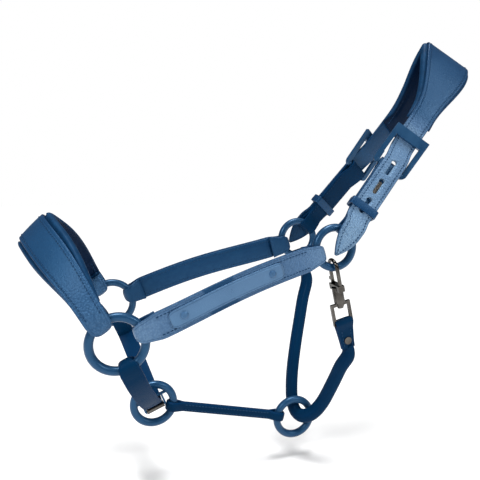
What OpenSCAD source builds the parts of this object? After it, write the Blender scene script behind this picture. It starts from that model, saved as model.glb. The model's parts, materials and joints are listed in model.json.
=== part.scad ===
// Horse head halter: padded crown and noseband, two cheeks, chin, jaw and throat straps, six coated
// rings, two buckles with hook studs, and a swivel snap on the near side.
// +X runs from the nose to the poll, +Y to the far side, +Z up. The origin is the poll seat, the
// middle of the crown pad's inner face.

/* [Layout] */
// Crown top to the upper rings' axis
crown_len = 267; // [240:1:290]
// Slope of the crown's billets above the horizontal
crown_angle = 50; // [46:1:54]
// Inward lean of the crown's billets
crown_lean = 6.5; // [4:0.5:8]
// Turn of the billets that carries their rear edges outward
crown_yaw = 17; // [12:1:20]
// Upper rings' axis to the lower rings' axis
cheek_len = 226; // [210:1:240]
// Slope of the cheeks above the horizontal
cheek_angle = 18; // [15:1:21]
// Lower rings' axis to the front of the noseband
nose_len = 120; // [112:1:130]
// Direction of the noseband from the lower rings
nose_angle = 127; // [122:1:132]
// Lower rings' axis to the chin ring's centre
chin_len = 98; // [94:1:104]
// Direction of the chin strap from the lower rings
chin_angle = -68; // [-72:1:-64]
// Half the distance between the lower rings
nose_half = 74; // [70:1:80]
// Half the distance between the upper rings
crown_half = 46; // [43:1:52]
// Throat ring's centre from the upper rings' axis, along X
throat_dx = -22; // [-24:1:-20]
// Throat ring's centre from the upper rings' axis, along Z
throat_dz = -198; // [-200:1:-196]

/* [Rings] */
// Outer diameter of the two lower side rings
side_ring_d = 54.5; // [52:0.5:58]
// Outer diameter of the other four rings
ring_d = 48.5; // [47:0.5:50]
// Thickness of the coated ring wire
wire_d = 8; // [7.5:0.1:8.4]

/* [Leather] */
// Thickness of an outer layer
layer = 3; // [2.8:0.1:3.2]
// Thickness of a layer that is folded round a ring
fold = 2.5; // [2.3:0.1:2.7]
// Thickness of the crown pad and nose pad
pad_t = 7.5; // [6:0.5:8]
// Width of the cheeks
cheek_w = 18.5; // [17:0.5:20]
// Width of the cheeks between their folded ends
cheek_mid_w = 23.5; // [21:0.5:25]
// Width of the crown's billets
billet_w = 25; // [24:0.5:26]
// Width of the crown pad at the poll
crown_pad_w = 66; // [58:1:70]
// Width of the nose pad at the front
nose_pad_w = 42; // [36:1:44]
// Width of the noseband's outer layer at the front
nose_w = 30; // [26:1:31]
// Width of the noseband where it meets the rings
nose_end_w = 21; // [20:0.5:22]
// Width of the chin strap
chin_w = 18; // [17:0.5:19]
// Width of the jaw strap
jaw_w = 9.5; // [9:0.5:11]
// Width of the rolled throat strap
throat_w = 15; // [12:0.5:16]
// Thickness of the rolled throat strap
throat_t = 11; // [10:0.5:11]

/* [Hidden] */
$fn = 48;

LEATHER = [0.13, 0.26, 0.44];
LINING = [0.06, 0.15, 0.30];
COATING = [0.14, 0.29, 0.48];
STEEL = [0.62, 0.60, 0.56];

clear = 0.4;       // gap between a wire and the leather round it
slip = 0.3;        // gap between faces that slide on each other
seam = 0.15;       // gap between layers that are stitched together
wire_r = wire_d / 2;
loop_r = wire_r + clear + fold;
side_r = side_ring_d / 2 - wire_r;
ring_r = ring_d / 2 - wire_r;

// Points in the middle plane, as [x, z]
// Distance the crown's top sits forward of its billets' line
crown_set = 11;
// Turn of the crown at its top
top_yaw = 12;
function dir(a) = [cos(a), sin(a)];
upper = -(crown_len - layer - pad_t * cos(top_yaw)) * dir(crown_angle)
    - (crown_set - pad_t * sin(top_yaw)) * dir(crown_angle + 90);
lower = upper - cheek_len * dir(cheek_angle);
chin = lower + chin_len * dir(chin_angle);
throat = upper + [throat_dx, throat_dz];
jaw_vec = throat - chin;
jaw_len = norm(jaw_vec);
jaw_angle = atan2(jaw_vec.y, jaw_vec.x);

// Hardware on the crown: x along a billet's own line from the ring wire, y outward from it
billet_in = fold + slip;
billet_out = billet_in + layer;
bar_r = 2.5;
bar_x = 87;
bar_drop = 2.9;
frame_l = 45;
frame_w = 40.5;
frame_t = 4;
frame_side = 5.2;
frame_top = 11;
frame_tilt = 9.5;
chape_w = 25.5;
chape_end_w = 19;
slot_pitch = 25;
slot_x = 58;
slot_l = 19;
slot_w = 5;
tip_x = -29;
keeper_x = 30;
keeper_l = 9;
keeper_t = 2;
pad_start = 168;

// Snap, along its own axis from the wire it hangs on
snap_at = -92;     // where on the ring it hangs
snap_angle = -76;
snap_y = -crown_half;
hook_in = 6.2;     // half the hook's opening
hook_t = 3.6;
barrel_top = 21;
barrel_l = 17;
eye_s = 61;
snap_lean = 3;

// ---------- outlines ----------

function unit(v) = v / norm(v);
function heading(p, i) = unit(p[min(i + 1, len(p) - 1)] - p[max(i - 1, 0)]);
function left(v) = [-v.y, v.x];
function shifted(p, d) = [for (i = [0 : len(p) - 1]) p[i] + d * left(heading(p, i))];
function backwards(p) = [for (i = [len(p) - 1 : -1 : 0]) p[i]];
// A band between two distances from a path
function band(p, a, b) = concat(shifted(p, a), backwards(shifted(p, b)));
function smooth(t) = t <= 0 ? 0 : t >= 1 ? 1 : t * t * (3 - 2 * t);
function mix(a, b, t) = a + (b - a) * t;
// An arch from [s0, -w] over [s1, 0] to [s0, w]; n = 2 is an ellipse, and less is more pointed
function arch(s0, s1, w, n = 2, steps = 40) = [
    for (i = [0 : steps])
        let (a = -90 + 180 * i / steps, c = pow(abs(cos(a)), 2 / n), q = pow(abs(sin(a)), 2 / n))
        [s0 + (s1 - s0) * c, w * sign(a) * q]
];
// ---------- ribbons ----------

// A station is [centre, width direction, outward direction, width]
function across_at(n, yaw) = [-n.x * sin(yaw), -n.y * sin(yaw), cos(yaw)];
function outward_at(n, yaw) = [n.x * cos(yaw), n.y * cos(yaw), sin(yaw)];
// Stations for a line of [x, y, z, yaw, width], where yaw carries the -z edge outward
function stations(line) = [
    for (i = [0 : len(line) - 1])
        let (
            a = line[max(i - 1, 0)],
            b = line[min(i + 1, len(line) - 1)],
            n = left(unit([b.x - a.x, b.y - a.y]))
        )
        [
            [line[i].x, line[i].y, line[i].z],
            across_at(n, line[i][3]),
            outward_at(n, line[i][3]),
            line[i][4]
        ]
];
// A rectangle with its corners cut off
function softened(h, a, b, e) = [
    [h - e, a], [h, a + e], [h, b - e], [h - e, b],
    [e - h, b], [-h, b - e], [-h, a + e], [e - h, a]
];
// A closed strap with softened edges between two distances outward from its stations
module ribbon(line, a, b, soft = 0.7) {
    st = stations(line);
    n = len(st);
    e = min(soft, (b - a) / 3);
    points = [
        for (p = st)
            for (c = softened(p[3] / 2, a, b, e))
                p[0] + p[1] * c[0] + p[2] * c[1]
    ];
    faces = concat(
        [[for (k = [7 : -1 : 0]) k]],
        [for (i = [0 : n - 2], k = [0 : 7])
            let (q = i * 8 + k, r = i * 8 + (k + 1) % 8) [q, r, r + 8, q + 8]],
        [[for (k = [0 : 7]) (n - 1) * 8 + k]]
    );
    polyhedron(points, faces);
}

// ---------- placing ----------

// Draws in a strap's own frame: x along the strap, y to the far side, z across its width
module along(point, angle) {
    translate([point.x, 0, point.y]) rotate([0, -angle, 0]) children();
}
module near() {
    mirror([0, 1, 0]) children();
}
// A flat shape in x and y, as wide as the strap
module across(width) {
    linear_extrude(height = width, center = true) children();
}
// A shape in x and z, carried through the strap's thickness, for cutting its width and its holes
module through(reach) {
    rotate([90, 0, 0]) linear_extrude(height = 2 * reach, center = true) children();
}
// A torus whose axis is along y
module torus(radius, wire) {
    rotate([90, 0, 0]) rotate_extrude($fn = 64) translate([radius, 0]) circle(r = wire);
}
module ring_at(point, y, radius) {
    color(COATING) translate([point.x, y, point.y]) torus(radius, wire_r);
}
// The end of a strap that is folded round a ring's wire, with its layers tangent to y = out
module fold_end(radius, y, width) {
    sag = radius - sqrt(radius * radius - width * width / 4);
    translate([radius, y]) circle(r = loop_r);
    translate([radius - sag, y]) circle(r = loop_r);
    translate([radius - sag, y - loop_r]) square([sag, 2 * loop_r]);
}
module wire_space(y, radius) {
    translate([0, y, 0]) torus(radius, wire_r + clear);
}
module stadium(length, width) {
    square([length - width, width], center = true);
    for (s = [-1, 1]) translate([s * (length - width) / 2, 0]) circle(d = width);
}

// ---------- crown ----------

crown_top = crown_len - layer;
// A billet's own line, from the ring wire's centre; far side
module billet_frame() {
    along(upper, crown_angle) translate([ring_r, crown_half, 0]) rotate([0, 0, -crown_lean])
        rotate([crown_yaw, 0, 0]) children();
}
function on_line(x, t) = [
    ring_r + x * cos(crown_lean) + t * sin(crown_lean),
    crown_half - x * sin(crown_lean) + t * cos(crown_lean)
];
// Above the bar the strap dips to pass under the frame's top
billet_dip = 5.6;
function billet_lift(x) = mix(loop_r + slip, billet_in, smooth((x - 6) / 14))
    - billet_dip * smooth((x - bar_x - 5) / 24);
function billet_turn(x) = crown_yaw * smooth((x - 1) / 19);
// Width of the crown strap: a pointed tip, a plain billet and a wide middle
function tip_width(x) = billet_w * pow(sin(min(90, 90 * (x - tip_x + 1.2) / 32)), 0.85);
crown_bend = on_line(130, billet_in - billet_dip);
arch_n = 1.75;
function crown_y(s) =
    let (t = min(1, (s - crown_bend.x) / (crown_top - crown_bend.x)))
    crown_bend.y * pow(1 - pow(t, arch_n), 1 / arch_n);
function crown_q(s) = crown_set * pow(max(0, (s - 130) / (crown_top - 130)), 2.4);
function crown_turn(s) = mix(crown_yaw, top_yaw, smooth((s - crown_bend.x) / (crown_top - crown_bend.x)));
// Half of a line over the crown, from s0 to the top
function over_top(s0, w0, w1, w_start, w_end) = [
    for (i = [0 : 22])
        let (
            a = 90 * i / 22,
            s = s0 + (crown_top - s0) * sin(a),
            w = mix(w0, w1, smooth((s - w_start) / (w_end - w_start)))
        )
        [s, crown_y(s), crown_q(s), crown_turn(s), w]
];
function over(half) = concat(
    [for (i = [0 : len(half) - 2]) half[i]],
    [for (i = [len(half) - 1 : -1 : 0]) [half[i].x, -half[i].y, half[i].z, half[i][3], half[i][4]]]
);
billet_line = [
    for (x = [tip_x : 3.5 : 127])
        let (p = on_line(x, billet_lift(x)))
        [p.x, p.y, crown_q(p.x), billet_turn(x), min(billet_w, tip_width(x))]
];
crown_line = over(concat(billet_line, over_top(crown_bend.x + 4, billet_w, crown_pad_w - 9, 182, 263)));
pad_line = over(over_top(pad_start, billet_w + 5, crown_pad_w, 180, 262));

// A slot and a round hole at its upper end
module billet_slot() {
    rotate([90, 0, 0]) linear_extrude(height = 30, center = true) {
        stadium(slot_l, slot_w - 0.6);
        translate([slot_l / 2 - slot_w / 2, 0]) circle(d = slot_w + 0.8);
    }
}

// Outer layer, from one pointed billet over the poll to the other
module crown_strap() {
    color(LEATHER) difference() {
        along(upper, crown_angle) ribbon(crown_line, 0, layer);
        for (i = [-1 : 1]) {
            billet_frame() translate([slot_x + i * slot_pitch, 0, 0]) billet_slot();
            near() billet_frame() translate([slot_x + i * slot_pitch, 0, 0]) billet_slot();
        }
    }
}

module crown_pad() {
    color(LINING) along(upper, crown_angle) ribbon(pad_line, -pad_t, -2 * seam, 2.4);
}

// Strap folded round the ring and the buckle's bar, stitched together between them
chape_line = [
    for (x = [5, 7.5, 10, 12.5, 15, 17.5, 20, 22.5, 28, 36, 44, 60, 74, bar_x - 3])
        let (p = on_line(x, 0))
        [p.x, p.y, 0, billet_turn(x), mix(chape_end_w, chape_w, smooth((x - 8) / 26))]
];
module chape() {
    eye_r = bar_r + slip + fold;
    color(LEATHER) difference() {
        union() {
            along(upper, crown_angle) ribbon(chape_line, -fold, fold);
            along(upper, crown_angle) translate([ring_r, crown_half, 0])
                linear_extrude(height = chape_end_w - 0.4, center = true) {
                    circle(r = loop_r);
                    polygon([[2, -loop_r + 0.4], [13, -1.4], [13, 1.4], [2, loop_r - 0.4]]);
                }
            billet_frame() translate([bar_x, -bar_drop, 0])
                cylinder(r = eye_r, h = chape_w - 0.4, center = true);
        }
        along(upper, crown_angle) wire_space(crown_half, ring_r);
        billet_frame() {
            translate([bar_x, -bar_drop, 0]) cylinder(r = bar_r + slip, h = chape_w + 2, center = true);
            translate([slot_x, 0.6 - fold, 0]) rotate([-90, 0, 0]) cylinder(r = 1.9, h = 30);
        }
    }
}

// A post set in the chape, with an oblong head that hooks into the billet's slot
module hook_stud() {
    color(STEEL) billet_frame() translate([slot_x, 0, 0]) {
        translate([0, 0.7 - fold, 0]) rotate([-90, 0, 0]) cylinder(r = 1.8, h = 2 * fold + 0.3);
        translate([-1, fold + 0.1 + 1.1, 0]) rotate([90, 0, 0])
            linear_extrude(height = 2.2, center = true) stadium(15, 3.6);
    }
}

// Flat frame with square upper corners and round lower ones, on a round bar
module buckle_frame() {
    corner = 6;
    color(COATING) billet_frame() translate([bar_x, -bar_drop, 0]) rotate([0, 0, frame_tilt]) {
        rotate([90, 0, 0]) linear_extrude(height = frame_t, center = true) difference() {
            union() {
                translate([corner - 4, -frame_w / 2]) square([frame_l - corner + 4, frame_w]);
                for (s = [-1, 1]) translate([corner - 4, s * (frame_w / 2 - corner)]) circle(r = corner);
                translate([-4, -frame_w / 2 + corner]) square([corner, frame_w - 2 * corner]);
            }
            translate([-10, -frame_w / 2 + frame_side])
                square([frame_l - frame_top + 10, frame_w - 2 * frame_side]);
        }
        cylinder(r = bar_r, h = frame_w - 2 * frame_side + 2, center = true);
    }
}

// Loop of leather round the chape and the billet
module keeper() {
    half = chape_w / 2 + 0.9;
    in_y = -fold - 0.6;
    out_y = billet_out + 0.6;
    color(LEATHER) billet_frame() translate([keeper_x, 0, 0]) rotate([0, 90, 0])
        linear_extrude(height = keeper_l, center = true) difference() {
            translate([-half - keeper_t, in_y - keeper_t])
                square([2 * (half + keeper_t), out_y - in_y + 2 * keeper_t]);
            translate([-half, in_y]) square([2 * half, out_y - in_y]);
        }
}

// ---------- cheeks ----------

cheek_from = side_r;
cheek_to = cheek_len - ring_r;
// How far the cheek bows up and out between its rings, and sits up on the lower one
cheek_rise = 3.5;
cheek_swell = 2;
cheek_shift = 2.5;
function cheek_t(s) = (s - cheek_from) / (cheek_to - cheek_from);
function cheek_y(s) = mix(nose_half, crown_half, smooth(cheek_t(s))) + loop_r - 0.12
    + cheek_swell * sin(180 * max(0, min(1, cheek_t(s))));
function cheek_q(s) = cheek_rise * pow(sin(180 * max(0, min(1, cheek_t(s)))), 1.5)
    + cheek_shift * (1 - smooth(cheek_t(s)));
function cheek_width(s) = mix(cheek_w, cheek_mid_w, smooth(min(s - cheek_from, cheek_to - s) / 16));
cheek_line = [
    for (i = [0 : 26])
        let (s = mix(cheek_from + 1, cheek_to - 1, i / 26))
        [s, cheek_y(s), cheek_q(s), 0, cheek_width(s)]
];
lining_line = [
    for (i = [0 : 26])
        let (s = mix(cheek_from + 1.4 * loop_r, cheek_to - 1.4 * loop_r, i / 26))
        [s, cheek_y(s), cheek_q(s), 0, cheek_width(s)]
];

// Outer layer, folded round both rings
module cheek() {
    color(LEATHER) along(lower, cheek_angle) difference() {
        union() {
            ribbon(cheek_line, -layer, 0);
            translate([0, 0, cheek_shift]) across(cheek_w - 0.3)
                fold_end(side_r, nose_half, cheek_w + 2 * cheek_shift);
            across(cheek_w - 0.3) translate([cheek_len, 0]) mirror([1, 0])
                fold_end(ring_r, crown_half, cheek_w);
        }
        wire_space(nose_half, side_r);
        translate([cheek_len, 0, 0]) wire_space(crown_half, ring_r);
    }
}

// Inner layer, stitched to the outer one between the folds
module cheek_lining() {
    color(LINING) along(lower, cheek_angle) ribbon(lining_line, -layer - fold, -layer - seam);
}

plate_s = 105;
plate_l = 116;
plate_t = 1.6;
rivet_gap = 91;
plate_line = [
    for (i = [0 : 14])
        let (s = plate_s + plate_l * (i / 14 - 0.5))
        [s, cheek_y(s), cheek_q(s), 0, cheek_mid_w - 7]
];

// Blank leather tab that follows the cheek's face
module name_plate() {
    color(LEATHER) along(lower, cheek_angle) near() ribbon(plate_line, seam, plate_t, 0.5);
}

module plate_rivets() {
    color(COATING) along(lower, cheek_angle) near()
        for (side = [-1, 1]) {
            s = plate_s + side * rivet_gap / 2;
            slope = atan2(cheek_y(s + 1) - cheek_y(s - 1), 2);
            translate([s, cheek_y(s), cheek_q(s)]) rotate([0, 0, slope]) rotate([-90, 0, 0]) {
                translate([0, 0, plate_t + seam]) cylinder(r = 3.6, h = 0.8);
                translate([0, 0, plate_t + seam + 0.8]) cylinder(r1 = 3.6, r2 = 2, h = 1);
            }
        }
}

// ---------- noseband ----------

nose_y = nose_half + loop_r - 0.12;
nose_top = nose_len;
nose_bend = side_r + 8;
nose_n = 1.35;
nose_bow = 3.5;
nose_yaw = 9;
function nose_part(s) = max(0, min(1, (s - nose_bend) / (nose_top - nose_bend)));
function nose_q(s) = -nose_bow * sin(180 * max(0, min(1, (s - side_r) / (nose_top - side_r))));
function nose_at(s) = nose_y * pow(1 - pow(nose_part(s), nose_n), 1 / nose_n);
// Line over the nose; its straight part starts at s0, its arch at one of 23 steps
function nose_line(s0, first, w1, w_end) = over(concat(
    [for (s = [s0 : 4 : max(s0, nose_bend - 1)])
        if (s < nose_bend) [s, nose_at(s), nose_q(s), 0, nose_end_w]],
    [for (i = [first : 22])
        let (
            s = nose_bend + (nose_top - nose_bend) * sin(90 * i / 22),
            w = mix(nose_end_w, w1, smooth((s - nose_bend) / (w_end - nose_bend)))
        )
        [s, nose_at(s), nose_q(s), nose_yaw * smooth(nose_part(s)), w]]
));

module nose_strap() {
    color(LEATHER) along(lower, nose_angle) difference() {
        union() {
            ribbon(nose_line(side_r + 1, 0, nose_w, nose_top - 20), -layer, 0);
            for (side = [-1, 1])
                across(nose_end_w - 0.3) fold_end(side_r, side * nose_half, nose_end_w);
        }
        for (side = [-1, 1]) wire_space(side * nose_half, side_r);
    }
}

module nose_pad() {
    color(LINING) along(lower, nose_angle)
        ribbon(nose_line(nose_bend, 1, nose_pad_w, nose_top - 18),
            -layer - pad_t, -layer - seam, 2.2);
}

// ---------- chin ----------

chin_t = 4;
roller_r = 3.2;
guide_bar = 4.6;
// The strap's outer face rests on the roller
chin_top = chin_len + guide_bar - roller_r - slip - chin_t;
chin_y = nose_half;
chin_path = concat(
    [[side_r, -chin_y], [side_r + 5, -chin_y]],
    arch(side_r + 10, chin_top, chin_y, 1.32, 48),
    [[side_r + 5, chin_y], [side_r, chin_y]]
);

module chin_strap() {
    color(LEATHER) along(lower, chin_angle) difference() {
        across(chin_w) {
            polygon(band(chin_path, -chin_t, 0));
            for (side = [-1, 1]) fold_end(side_r, side * nose_half, chin_w);
        }
        for (side = [-1, 1]) wire_space(side * nose_half, side_r);
    }
}

// The ring, with a rectangular guide inside it that the strap runs through
guide_top = -6.5;
guide_post = 1.9;
guide_gap = 0.7;
guide_half = chin_w / 2 + guide_gap;
// One side of the guide, with its corner cut back from the jaw strap's fold
module guide_side() {
    low = guide_bar + 2;
    wide = guide_half + guide_post;
    through(2.2) polygon([
        [guide_top - 0.6, guide_half], [low, guide_half], [low, guide_half + 0.7],
        [low - 2.6, wide], [guide_top - 0.6, wide]
    ]);
}
module chin_ring() {
    color(COATING) {
        translate([chin.x, 0, chin.y]) torus(ring_r, wire_r);
        along(chin, chin_angle) {
            translate([guide_top, 0, 0]) cylinder(r = 1.6, h = 2 * 15.6, center = true);
            guide_side();
            mirror([0, 0, 1]) guide_side();
            translate([guide_bar, 0, 0]) cylinder(r = 1.4, h = 2 * guide_half + 1, center = true);
        }
    }
}

module chin_roller() {
    color(STEEL) along(chin, chin_angle) translate([guide_bar, 0, 0]) difference() {
        cylinder(r = roller_r, h = 2 * guide_half - 0.8, center = true);
        cylinder(r = 1.5, h = 40, center = true);
    }
}

// ---------- jaw ----------

module jaw_strap() {
    color(LEATHER) along(chin, jaw_angle) difference() {
        across(jaw_w) {
            translate([ring_r, -fold]) square([jaw_len - 2 * ring_r, 2 * fold]);
            fold_end(ring_r, 0, jaw_w);
            translate([jaw_len, 0]) mirror([1, 0]) fold_end(ring_r, 0, jaw_w);
        }
        wire_space(0, ring_r);
        translate([jaw_len, 0, 0]) wire_space(0, ring_r);
    }
}

// ---------- throat ----------

// The rolled strap's line, from the far upper ring through the throat ring to the snap's loop
loop_angle = -75;
loop_l = 21;
fold_l = 29;
u = [upper.x, 0, upper.y];
loop_dir = [cos(loop_angle), 0, sin(loop_angle)];
loop_end = u + [0, crown_half, 0] + (ring_r + loop_l) * loop_dir;
snap_dir = [cos(snap_angle) * cos(snap_lean), sin(snap_lean), sin(snap_angle) * cos(snap_lean)];
snap_top = u + [ring_r * cos(snap_at), snap_y, ring_r * sin(snap_at)];
snap_end = snap_top + (eye_s + fold_l) * snap_dir;
throat_route = [
    loop_end + 0.3 * loop_dir, loop_end + 12 * loop_dir, u + [7, 42, -70], u + [0.5, 37, -95],
    u + [-7.5, 30, -124], u + [-14.5, 22.5, -153], u + [-18.2, 15.5, -174], u + [-19.5, 8.5, -188],
    u + [-17.5, 0, -196], u + [-11, -9, -195], u + [-3, -14, -188.5], u + [5, -18, -176],
    u + [10, -23.5, -160], u + [14.5, -29.5, -143], u + [17.5, -35.5, -128], snap_end + 9 * snap_dir,
    snap_end + 0.3 * snap_dir
];

function cross_unit(a, b) = unit(cross(a, b));
function route_dir(p, i) = unit(p[min(i + 1, len(p) - 1)] - p[max(i - 1, 0)]);
// Catmull-Rom points between the route's own points
function curve_at(p, i, t) =
    let (a = p[max(i - 1, 0)], b = p[i], c = p[i + 1], d = p[min(i + 2, len(p) - 1)])
    0.5 * (2 * b + (c - a) * t + (2 * a - 5 * b + 4 * c - d) * t * t + (3 * b - 3 * c + d - a) * t * t * t);
function curve(p, n) = concat(
    [for (i = [0 : len(p) - 2], k = [0 : n - 1]) curve_at(p, i, k / n)], [p[len(p) - 1]]
);

// A closed tube of oval section along a line, square to the directions d0 and d1 at its ends
module oval_tube(line, width, thick, d0, d1, sides = 12) {
    rings = len(line);
    points = [
        for (i = [0 : rings - 1])
            let (t = i == 0 ? d0 : i == rings - 1 ? d1 : route_dir(line, i))
            let (wide = cross_unit(t, [0.8, 0.5, -0.2]), thin = cross_unit(t, wide))
            for (k = [0 : sides - 1])
                let (a = 360 * k / sides)
                line[i] + wide * cos(a) * width / 2 + thin * sin(a) * thick / 2
    ];
    faces = concat(
        [[for (k = [0 : sides - 1]) k]],
        [for (i = [0 : rings - 2], k = [0 : sides - 1])
            let (a = i * sides + k, b = i * sides + (k + 1) % sides) [a, a + sides, b + sides, b]],
        [[for (k = [sides - 1 : -1 : 0]) (rings - 1) * sides + k]]
    );
    polyhedron(points, faces);
}

module throat_strap() {
    color(LEATHER) oval_tube(curve(throat_route, 3), throat_w, throat_t, loop_dir, -snap_dir);
}

// Flat end, folded round the far upper ring
loop_w = 15;
module throat_ring_loop() {
    color(LEATHER) along(upper, loop_angle) difference() {
        across(loop_w) {
            translate([ring_r, crown_half]) circle(r = loop_r);
            polygon([
                [ring_r + 2, crown_half - loop_r + 0.4], [ring_r + 12, crown_half - fold],
                [ring_r + loop_l, crown_half - fold], [ring_r + loop_l, crown_half + fold],
                [ring_r + 12, crown_half + fold], [ring_r + 2, crown_half + loop_r - 0.4]
            ]);
        }
        wire_space(crown_half, ring_r);
    }
}

// Flat end, folded round the snap's eye and riveted
fold_w = 15;
eye_bar_r = 1.7;
fold_r = eye_bar_r + 0.4 + fold;
module throat_snap_loop() {
    color(LEATHER) snap_frame() translate([eye_s, 0, 0]) difference() {
        across(fold_w) {
            circle(r = fold_r);
            polygon([
                [1, 0.3 - fold_r], [13, -fold], [fold_l, -fold],
                [fold_l, fold], [13, fold], [1, fold_r - 0.3]
            ]);
        }
        cylinder(r = eye_bar_r + 0.4, h = fold_w + 2, center = true);
        translate([20, 0, 0]) rotate([90, 0, 0]) cylinder(r = 1.6, h = 30, center = true);
    }
}

module throat_rivet() {
    color(STEEL) snap_frame() translate([eye_s + 20, 0, 0]) rotate([90, 0, 0]) {
        cylinder(r = 1.5, h = 2 * fold + 0.6, center = true);
        for (s = [-1, 1]) translate([0, 0, s * (fold + 0.65)]) cylinder(r = 4, h = 1.2, center = true);
    }
}

// ---------- snap ----------

// x runs down the snap from the wire's centre, y across the hook's plane
module snap_frame() {
    translate(snap_top) rotate([0, -snap_angle, 0]) rotate([0, 0, snap_lean]) children();
}

// Hook over the wire, open on its inner side below the nose, and a barrel that holds the swivel
snap_r = hook_in + hook_t / 2;
nose_end = 5;
module snap_hook() {
    color(STEEL) snap_frame() difference() {
        union() {
            intersection() {
                rotate_extrude() translate([snap_r, 0]) circle(d = hook_t);
                translate([-20, -20, -10]) cube([20, 40, 20]);
            }
            translate([-0.5, -snap_r, 0]) rotate([0, 90, 0]) cylinder(d = hook_t + 0.3, h = barrel_top);
            translate([-0.5, snap_r, 0]) rotate([0, 90, 0]) cylinder(d = hook_t + 0.3, h = nose_end + 0.5);
            translate([barrel_top, 0, 0]) rotate([0, 90, 0]) cylinder(r = 5.6, h = barrel_l);
            translate([barrel_top - 3, -snap_r - 2, -3.4]) cube([6.5, 2 * snap_r + 3.6, 6.8]);
            translate([barrel_top + barrel_l - 0.1, 0, 0]) rotate([0, 90, 0]) cylinder(r = 2, h = 5);
            translate([barrel_top + barrel_l + 4.5, 0, 0]) rotate([0, 90, 0]) cylinder(r = 3.2, h = 1.6);
        }
        translate([barrel_top - 6, 3.9, -1.7]) cube([11, 12, 3.4]);
        translate([barrel_top, snap_r - 1, 0]) cylinder(r = 0.9, h = 20, center = true);
    }
}

// Sprung bar that closes the hook, with a thumb tab on its outer face
module snap_gate() {
    color(STEEL) snap_frame() difference() {
        union() {
            translate([nose_end + 0.4, snap_r - 2.3, -1.5]) cube([barrel_top - nose_end + 1.8, 2.6, 3]);
            translate([barrel_top - 9, snap_r + 0.2, -1.5]) cube([3, 3, 3]);
        }
        translate([barrel_top, snap_r - 1, 0]) cylinder(r = 0.95, h = 10, center = true);
    }
}

module snap_gate_pin() {
    color(STEEL) snap_frame() translate([barrel_top, snap_r - 1, 0])
        cylinder(r = 0.88, h = 6.6, center = true);
}

// Swivel eye: a collar on the hook's stem, two legs and the bar that the leather holds
module snap_eye() {
    collar = barrel_top + barrel_l + 0.4;
    half = fold_w / 2 + 2.1;
    color(STEEL) snap_frame() difference() {
        union() {
            translate([collar, 0, 0]) rotate([0, 90, 0]) cylinder(r = 4.2, h = 3.6);
            translate([collar + 0.3, -1.5, -half - 1.5]) cube([3, 3, 2 * half + 3]);
            for (s = [-1, 1]) translate([collar + 0.3, -1.5, s * half - 1.5])
                cube([eye_s - collar + 1.2, 3, 3]);
            translate([eye_s, 0, 0]) cylinder(r = eye_bar_r, h = 2 * half + 1, center = true);
        }
        translate([collar - 1, 0, 0]) rotate([0, 90, 0]) cylinder(r = 2.1, h = 8);
    }
}

// ---------- nodes ----------

crown_pad();
crown_strap();
near() chape();  // near_chape
chape();  // far_chape
near() hook_stud();  // near_hook_stud
hook_stud();  // far_hook_stud
near() buckle_frame();  // near_buckle_frame
buckle_frame();  // far_buckle_frame
near() keeper();  // near_keeper
keeper();  // far_keeper
ring_at(upper, -crown_half, ring_r);  // near_upper_ring
ring_at(upper, crown_half, ring_r);  // far_upper_ring
ring_at(lower, -nose_half, side_r);  // near_lower_ring
ring_at(lower, nose_half, side_r);  // far_lower_ring
near() cheek();  // near_cheek
near() cheek_lining();  // near_cheek_lining
cheek();  // far_cheek
cheek_lining();  // far_cheek_lining
name_plate();
plate_rivets();
nose_strap();
nose_pad();
chin_strap();
chin_roller();
chin_ring();
jaw_strap();
ring_at(throat, 0, ring_r);  // throat_ring
throat_strap();
throat_ring_loop();
throat_snap_loop();
throat_rivet();
snap_eye();
snap_hook();
snap_gate();
snap_gate_pin();
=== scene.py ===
import json
import math

import bmesh
import bpy
import numpy as np
from mathutils import Matrix, Vector

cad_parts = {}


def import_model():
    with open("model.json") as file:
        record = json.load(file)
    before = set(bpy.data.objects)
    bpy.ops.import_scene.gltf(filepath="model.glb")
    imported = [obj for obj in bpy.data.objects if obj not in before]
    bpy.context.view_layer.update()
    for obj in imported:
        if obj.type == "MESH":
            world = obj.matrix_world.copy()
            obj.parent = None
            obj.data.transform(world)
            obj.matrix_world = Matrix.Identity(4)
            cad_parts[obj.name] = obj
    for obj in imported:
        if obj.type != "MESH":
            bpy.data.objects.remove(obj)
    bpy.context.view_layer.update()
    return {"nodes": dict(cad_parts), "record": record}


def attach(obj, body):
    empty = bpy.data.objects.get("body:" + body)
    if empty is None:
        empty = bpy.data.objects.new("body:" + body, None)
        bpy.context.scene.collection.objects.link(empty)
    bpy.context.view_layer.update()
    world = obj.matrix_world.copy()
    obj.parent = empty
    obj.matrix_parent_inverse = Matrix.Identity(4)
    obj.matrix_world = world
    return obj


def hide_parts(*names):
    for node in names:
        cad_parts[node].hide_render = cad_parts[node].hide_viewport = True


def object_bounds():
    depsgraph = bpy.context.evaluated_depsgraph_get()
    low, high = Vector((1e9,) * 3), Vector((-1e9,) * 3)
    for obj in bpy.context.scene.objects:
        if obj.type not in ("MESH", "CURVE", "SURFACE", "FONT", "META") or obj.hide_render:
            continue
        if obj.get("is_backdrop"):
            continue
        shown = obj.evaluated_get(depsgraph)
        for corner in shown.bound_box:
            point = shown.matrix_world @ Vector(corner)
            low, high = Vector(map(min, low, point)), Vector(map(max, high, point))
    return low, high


# A padded leather head halter. Lengths are in millimetres until a mesh is made, in the CAD's frame.
# A strap's own frame has x along the strap, y outward to the side and z across its width.

MM = 0.001
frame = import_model()
joints = {j["name"]: j for j in frame["record"]["behaviour"]["joints"]}


def joint_point(name):
    return np.array(joints[name]["pos_m"]) / MM


UPPER = joint_point("far_upper_ring_turn")
LOWER = joint_point("far_lower_ring_turn")
CHIN = joint_point("chin_ring_swing")
THROAT = joint_point("throat_ring_turn")
CROWN_HALF = UPPER[1]
NOSE_HALF = LOWER[1]

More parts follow.
